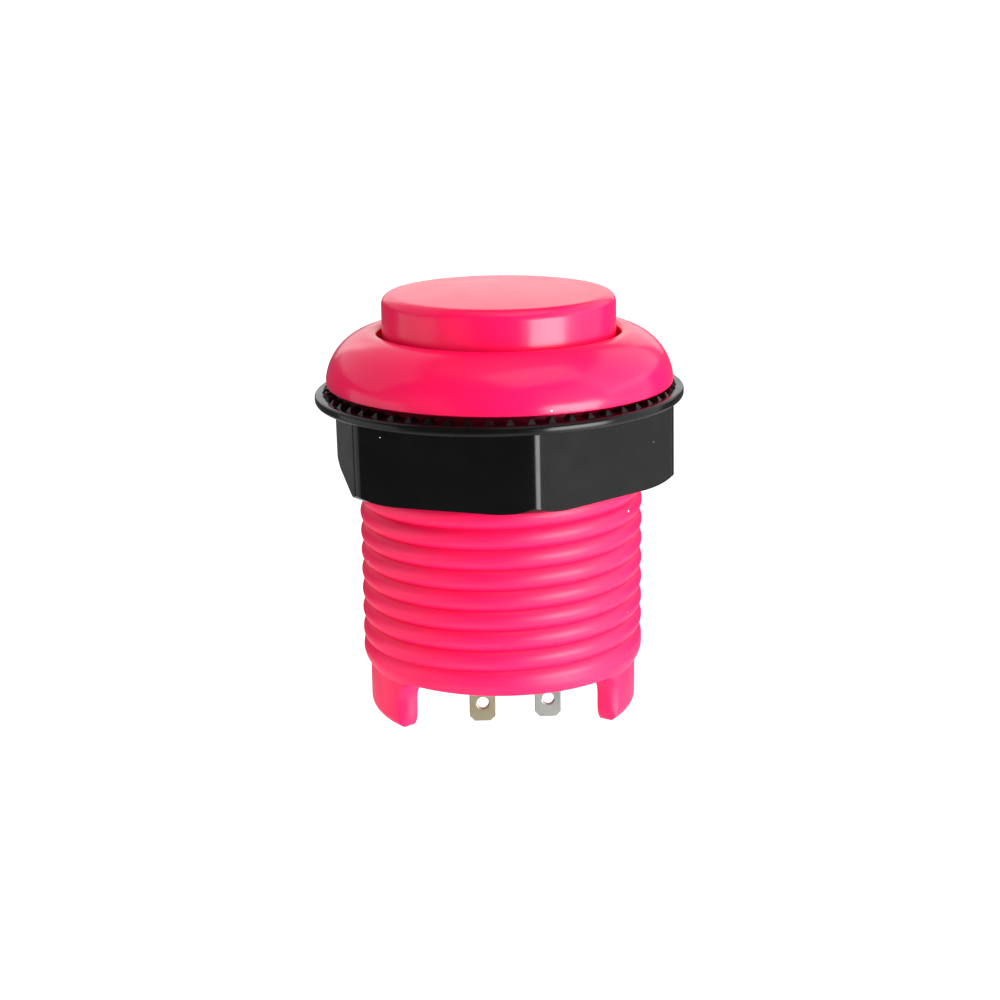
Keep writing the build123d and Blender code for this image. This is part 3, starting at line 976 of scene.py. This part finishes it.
class Graph:
    """Node tree of one material, built from the shader back to the place on the object."""

    NOISE_MIDDLE = (0.3, 0.7)
    RANGE = ("Value", "From Min", "From Max", "To Min", "To Max")
    MIX = (0, 6, 7)
    MIX_COLOUR = 2

    def __init__(self, name: str) -> None:
        self.material: bpy.types.Material = bpy.data.materials.new(name)
        self.material.use_nodes = True
        self.tree = self.material.node_tree
        self.tree.nodes.clear()
        self.shader = self.tree.nodes.new("ShaderNodeBsdfPrincipled")
        output = self.tree.nodes.new("ShaderNodeOutputMaterial")
        self.feed(output, {"Surface": self.shader.outputs["BSDF"]})
        self.place = self.make("ShaderNodeTexCoord", "Object", {})

    def feed(self, node: bpy.types.Node, values: Dict[Key, object]) -> None:
        """Links outputs to the inputs of a node, or sets the inputs to constants.

        Args:
            node: The node.
            values: Outputs and constants, by the name or number of the input.
        """
        for key, value in values.items():
            if isinstance(value, Socket):
                self.tree.links.new(value, node.inputs[key])
            else:
                node.inputs[key].default_value = value

    def make(self, kind: str, output: Key, values: Dict[Key, object], **settings: str) -> Socket:
        """Adds a node and feeds it.

        Args:
            kind: Blender's name for the node.
            output: Name or number of the wanted output.
            values: What its inputs get.
            settings: Properties of the node.

        Returns:
            The wanted output.
        """
        node = self.tree.nodes.new(kind)
        for key, value in settings.items():
            setattr(node, key, value)
        self.feed(node, values)
        return node.outputs[output]

    def noise(self, scale: float, detail: float = 3.0, stretch: Vector3 = (1, 1, 1)) -> Socket:
        """Spreads a noise over the object.

        Args:
            scale: Waves per metre, about.
            detail: Number of finer layers.
            stretch: Factors on x, y and z.

        Returns:
            The noise, from 0 to 1.
        """
        place = self.make("ShaderNodeMapping", "Vector", {"Vector": self.place, "Scale": stretch})
        values = {"Vector": place, "Scale": scale, "Detail": detail}
        return self.make("ShaderNodeTexNoise", "Fac", values)

    def span(self, value: Socket, old: Point, new: Tuple[object, object]) -> Socket:
        """Maps a value from an old range to a new one, whose ends may be outputs."""
        values = dict(zip(self.RANGE, (value, *old, *new)))
        return self.make("ShaderNodeMapRange", "Result", values)

    def between(self, share: Socket, low: float, high: float) -> Socket:
        """Maps the middle of a noise to a range of values."""
        return self.span(share, self.NOISE_MIDDLE, (low, high))

    def grade(self, below: object, above: object) -> Socket:
        """Goes from one value under the panel's plane to another over it."""
        height = self.make("ShaderNodeSeparateXYZ", "Z", {"Vector": self.place})
        return self.span(height, (-MM, 0.0), (below, above))

    def blend(self, share: object, first: object, second: object) -> Socket:
        """Mixes two colours by the share of the second."""
        values = dict(zip(self.MIX, (share, first, second)))
        return self.make("ShaderNodeMix", self.MIX_COLOUR, values, data_type="RGBA")

    def combine(self, operation: str, first: object, second: object) -> Socket:
        """Joins two values by one of Blender's math operations."""
        return self.make("ShaderNodeMath", 0, {0: first, 1: second}, operation=operation)

    def dust(self, scale: float, size: float, rate: float) -> Socket:
        """Scatters specks over the object.

        Args:
            scale: Cells per metre.
            size: Radius of a speck, as a share of a cell.
            rate: Share of the cells that hold one.

        Returns:
            1 on a speck and 0 elsewhere.
        """
        values = {"Vector": self.place, "Scale": scale}
        distance = self.make("ShaderNodeTexVoronoi", "Distance", values)
        lot = {"Color": distance.node.outputs["Color"]}
        near = self.combine("LESS_THAN", distance, size)
        chosen = self.combine("LESS_THAN", self.make("ShaderNodeSeparateColor", "Red", lot), rate)
        return self.combine("MULTIPLY", near, chosen)

    def bump(self, height: Socket, depth: float) -> None:
        """Raises the surface by a height from 0 to 1, times a depth in metres."""
        values = {"Height": height, "Distance": depth}
        self.feed(self.shader, {"Normal": self.make("ShaderNodeBump", "Normal", values)})


@dataclass(frozen=True)
class Moulded:
    """Finish of a plastic moulding with a trace of flow, a fine skin and a little dust."""

    SPECK_CELLS = 1400.0
    SPECK_SIZE = 0.12
    SPECK_COLOUR = (0.8, 0.8, 0.8, 1.0)
    FLOW_WAVES = 140.0
    GLOSS_WAVES = 420.0
    SKIN_WAVES = 900.0
    SKIN_DETAIL = 4.0
    SKIN_DEPTH = 4e-6
    GLOW_RADIUS = (1.0, 0.15, 0.3)
    GLOW_SCALE = 0.001

    name: str
    colour: Colour
    flow: Colour
    roughness: Point
    glow: float = 0.0
    dust_rate: float = 0.004
    shine: float = 0.5
    grain: float = 0.0

    def material(self) -> bpy.types.Material:
        """Builds the material.

        Returns:
            The material.
        """
        graph = Graph(self.name)
        specks = graph.dust(self.SPECK_CELLS, self.SPECK_SIZE, self.dust_rate)
        flow = graph.between(graph.noise(self.FLOW_WAVES), 0.0, 1.0)
        tone = graph.blend(flow, self.colour, self.flow)
        cloud = graph.noise(self.GLOSS_WAVES)
        barrel = graph.between(cloud, *(value + self.grain for value in self.roughness))
        bezel = graph.between(cloud, *self.roughness)
        graph.feed(graph.shader, {
            "Base Color": graph.blend(specks, tone, self.SPECK_COLOUR),
            "Roughness": graph.grade(barrel, bezel),
            "Specular IOR Level": self.shine,
            "Subsurface Weight": self.glow,
            "Subsurface Radius": self.GLOW_RADIUS,
            "Subsurface Scale": self.GLOW_SCALE,
        })
        graph.bump(graph.noise(self.SKIN_WAVES, self.SKIN_DETAIL), self.SKIN_DEPTH)
        return graph.material


@dataclass(frozen=True)
class Metal:
    """Finish of a drawn, rolled or stamped metal with fine lines along one direction."""

    LINE_WAVES = 5000.0
    LINE_DETAIL = 2.0
    LINE_DEPTH = 3e-6
    STAIN_WAVES = 500.0

    name: str
    colour: Colour
    stain: Colour
    roughness: Point
    stretch: Vector3 = (1.0, 1.0, 0.06)

    def material(self) -> bpy.types.Material:
        """Builds the material.

        Returns:
            The material.
        """
        graph = Graph(self.name)
        lines = graph.noise(self.LINE_WAVES, self.LINE_DETAIL, self.stretch)
        cloud = graph.between(graph.noise(self.STAIN_WAVES), 0.0, 1.0)
        graph.feed(graph.shader, {
            "Base Color": graph.blend(cloud, self.colour, self.stain),
            "Metallic": 1.0,
            "Roughness": graph.between(lines, *self.roughness),
        })
        graph.bump(lines, self.LINE_DEPTH)
        return graph.material


PINK = ((0.9, 0.005, 0.083, 1), (0.93, 0.006, 0.094, 1))
GLOSS_BLACK = ((0.002, 0.002, 0.0023, 1), (0.003, 0.003, 0.0034, 1))
MATT_BLACK = ((0.015, 0.015, 0.016, 1), (0.022, 0.022, 0.023, 1))
RED = ((0.42, 0.012, 0.012, 1), (0.48, 0.016, 0.016, 1))

FINISHES = (
    Moulded("pink_shell", *PINK, (0.17, 0.22), glow=0.06, shine=0.35, grain=0.2),
    Moulded("pink_plunger", *PINK, (0.2, 0.26), glow=0.06, dust_rate=0.002, shine=0.35),
    Moulded("black_nut", *GLOSS_BLACK, (0.16, 0.24), dust_rate=0.012, shine=0.3),
    Moulded("switch_black", *MATT_BLACK, (0.45, 0.55), dust_rate=0.0),
    Moulded("button_red", *RED, (0.4, 0.5), glow=0.1, dust_rate=0.0),
    Metal("terminal_brass", (0.5, 0.44, 0.31, 1), (0.42, 0.37, 0.25, 1), (0.3, 0.4)),
    Metal("terminal_tin", (0.5, 0.51, 0.49, 1), (0.42, 0.43, 0.41, 1), (0.3, 0.4)),
    Metal(
        "blade_copper", (0.72, 0.42, 0.26, 1), (0.6, 0.33, 0.2, 1), (0.25, 0.4), (0.06, 1.0, 1.0)
    ),
    Metal("contact_silver", (0.82, 0.82, 0.8, 1), (0.7, 0.7, 0.68, 1), (0.2, 0.3), (1.0, 1.0, 1.0)),
    Metal("spring_steel", (0.6, 0.6, 0.6, 1), (0.48, 0.48, 0.48, 1), (0.2, 0.34), (1.0, 1.0, 0.3)),
)


@dataclass(frozen=True)
class Softbox:
    """A flat light that looks at the button from one direction.

    Azimuth is counted from the front to the right, in degrees; the size is in metres.
    """

    name: str
    azimuth: float
    elevation: float
    distance: float
    size: Point
    radiance: float
    mirrored: bool = True

    def place(self) -> None:
        """Sets the light up and turns it to the button."""
        bpy.ops.object.light_add(type="AREA")
        lamp = bpy.context.object
        lamp.name = self.name
        lamp.data.shape = "RECTANGLE"
        lamp.data.size, lamp.data.size_y = self.size
        lamp.data.energy = self.radiance * math.pi * self.size[0] * self.size[1]
        lamp.visible_glossy = self.mirrored
        lamp.visible_camera = False
        back = outlook(self.azimuth, self.elevation)
        lamp.location = Lens.TARGET + back * self.distance
        lamp.rotation_euler = (-back).to_track_quat("-Z", "Y").to_euler()


def outlook(azimuth: float, elevation: float) -> Vector:
    """Finds the direction from the button to a light or the camera.

    Args:
        azimuth: Angle from the front to the right, in degrees.
        elevation: Angle over the level, in degrees.

    Returns:
        The direction, of length 1.
    """
    turn, rise = math.radians(azimuth), math.radians(elevation)
    flat = math.cos(rise)
    return Vector((math.sin(turn) * flat, -math.cos(turn) * flat, math.sin(rise)))


@dataclass(frozen=True)
class Lens:
    """The camera, where the photograph was taken from."""

    TARGET = Vector((0, 0, -0.01))

    azimuth: float = -3.3
    elevation: float = 14.563
    distance: float = 0.19
    roll: float = -0.7
    focal: float = 71.378
    sensor: float = 36.0
    near: float = 0.01
    shift: Point = (-0.000771, -0.018243)

    def place(self) -> None:
        """Adds the camera and makes it the scene's own."""
        bpy.ops.object.camera_add()
        camera = bpy.context.object
        back = outlook(self.azimuth, self.elevation)
        camera.location = self.TARGET + back * self.distance
        camera.rotation_mode = "QUATERNION"
        roll = Quaternion((0, 0, 1), math.radians(self.roll))
        camera.rotation_quaternion = (-back).to_track_quat("-Z", "Y") @ roll
        camera.data.lens = self.focal
        camera.data.sensor_width = self.sensor
        camera.data.shift_x, camera.data.shift_y = self.shift
        camera.data.clip_start = self.near
        bpy.context.scene.camera = camera


LIGHTS = (
    Softbox("key", 44.5, -6.0, 0.4, (0.268, 0.18), 11.8),
    Softbox("right_panel", 90.0, -5.0, 0.5, (0.4, 0.46), 0.9),
    Softbox("right_high", 105.0, 33.0, 0.5, (0.7, 0.36), 0.95),
    Softbox("low_right", 60.0, -50.0, 0.15, (0.11, 0.1), 1.5),
    Softbox("left_panel", -92.0, -12.0, 0.5, (0.46, 0.3), 0.95),
    Softbox("left_high", -125.0, 36.0, 0.5, (0.75, 0.45), 0.6),
    Softbox("rear_panel", 177.0, 17.0, 0.6, (0.6, 0.3), 1.0),
    Softbox("overhead", 40.0, 65.0, 0.5, (0.4, 0.3), 1.2),
    Softbox("right_fill", 55.0, 10.0, 0.4, (0.4, 0.4), 3.3, mirrored=False),
    Softbox("top_fill", 30.0, 85.0, 0.4, (0.4, 0.4), 1.6, mirrored=False),
    Softbox("left_fill", -60.0, -5.0, 0.4, (0.4, 0.4), 1.2, mirrored=False),
    Softbox("foot_fill", -35.0, -48.0, 0.085, (0.05, 0.03), 6.0, mirrored=False),
)


@dataclass(frozen=True)
class Studio:
    """Pale table in a white tent, a dim room and softboxes; sizes are in metres."""

    table_height: float = -0.13
    table_radius: float = 0.3
    table_tone: float = 0.65
    tent_radius: float = 2.5
    tent_tone: float = 0.9
    tent_light: float = 1.1
    table_sides: int = 96
    tent_grid: Tuple[int, int] = (48, 24)
    matt: float = 0.9
    room: Colour = (0.12, 0.12, 0.12, 1.0)

    def build(self) -> None:
        """Builds the stage, the lights and the camera."""
        bpy.ops.mesh.primitive_circle_add(
            vertices=self.table_sides, radius=self.table_radius, fill_type="NGON",
            location=(0, 0, self.table_height),
        )
        table = self._cover(bpy.context.object, "table", self.table_tone, 0.0)
        table.visible_camera = False
        segments, rings = self.tent_grid
        bpy.ops.mesh.primitive_uv_sphere_add(
            segments=segments, ring_count=rings, radius=self.tent_radius
        )
        tent = self._cover(bpy.context.object, "tent", self.tent_tone, self.tent_light)
        tent.visible_diffuse = False
        tent.visible_glossy = False
        tent.visible_shadow = False
        world = bpy.data.worlds.new("room")
        world.use_nodes = True
        world.node_tree.nodes["Background"].inputs["Color"].default_value = self.room
        bpy.context.scene.world = world
        for light in LIGHTS:
            light.place()
            LOG.info("light %s", light.name)
        Lens().place()

    def _cover(self, sheet: Piece, name: str, tone: float, light: float) -> Piece:
        """Gives a part of the stage its plain, pale surface and its own light.

        Args:
            sheet: The table or the tent.
            name: Its name.
            tone: Share of the light that it throws back.
            light: Strength of its own light.

        Returns:
            The same sheet.
        """
        sheet.name = name
        graph = Graph(name)
        graph.feed(graph.shader, {
            "Base Color": (tone, tone, tone, 1.0),
            "Roughness": self.matt,
            "Emission Color": (1.0, 1.0, 1.0, 1.0),
            "Emission Strength": light,
        })
        sheet.data.materials.append(graph.material)
        return sheet


@dataclass(frozen=True)
class Stamped:
    """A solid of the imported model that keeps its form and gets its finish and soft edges."""

    GLUE = 10 * WELD
    SEGMENTS = 2

    node: str
    finish: str
    edge: float = 0.0

    def dress(self, material: bpy.types.Material) -> None:
        """Gives the solid its material and, where it shows, softened edges.

        Args:
            material: The material of its finish.
        """
        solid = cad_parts[self.node]
        solid.data.materials.clear()
        solid.data.materials.append(material)
        if self.edge:
            weld = solid.modifiers.new("weld", "WELD")
            weld.merge_threshold = self.GLUE
            soft = solid.modifiers.new("edge", "BEVEL")
            soft.width = self.edge * MM
            soft.segments = self.SEGMENTS
            soft.limit_method = "ANGLE"
        LOG.info("finish of %s: %s", self.node, self.finish)


SOLIDS = (
    Stamped("common_terminal", "terminal_brass", 0.06),
    Stamped("open_terminal", "terminal_tin", 0.06),
    Stamped("switch_base", "switch_black", 0.08),
    Stamped("switch_cover", "switch_black", 0.08),
    Stamped("switch_button", "button_red"),
    Stamped("return_spring", "spring_steel"),
    Stamped("moving_blade", "blade_copper"),
    Stamped("moving_contact", "contact_silver"),
    Stamped("fixed_contact", "contact_silver"),
)


def main() -> None:
    """Builds the pieces in order, dresses them and sets the studio."""
    logging.basicConfig(level=logging.INFO)
    materials = {finish.name: finish.material() for finish in FINISHES}
    for maker, body, node, finish in (
        (Housing(), Body.HOUSING, "housing", "pink_shell"),
        (Plunger(), Body.PLUNGER, "plunger", "pink_plunger"),
        (LockNut(), Body.HOUSING, "lock_nut", "black_nut"),
    ):
        piece = maker.build()
        piece.data.materials.append(materials[finish])
        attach(piece, body.value)
        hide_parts(node)
        LOG.info("%s: %d faces", piece.name, len(piece.data.polygons))
    for solid in SOLIDS:
        solid.dress(materials[solid.finish])
    Studio().build()
    bpy.context.scene.view_settings.view_transform = "Standard"


if __name__ == "__main__":
    main()
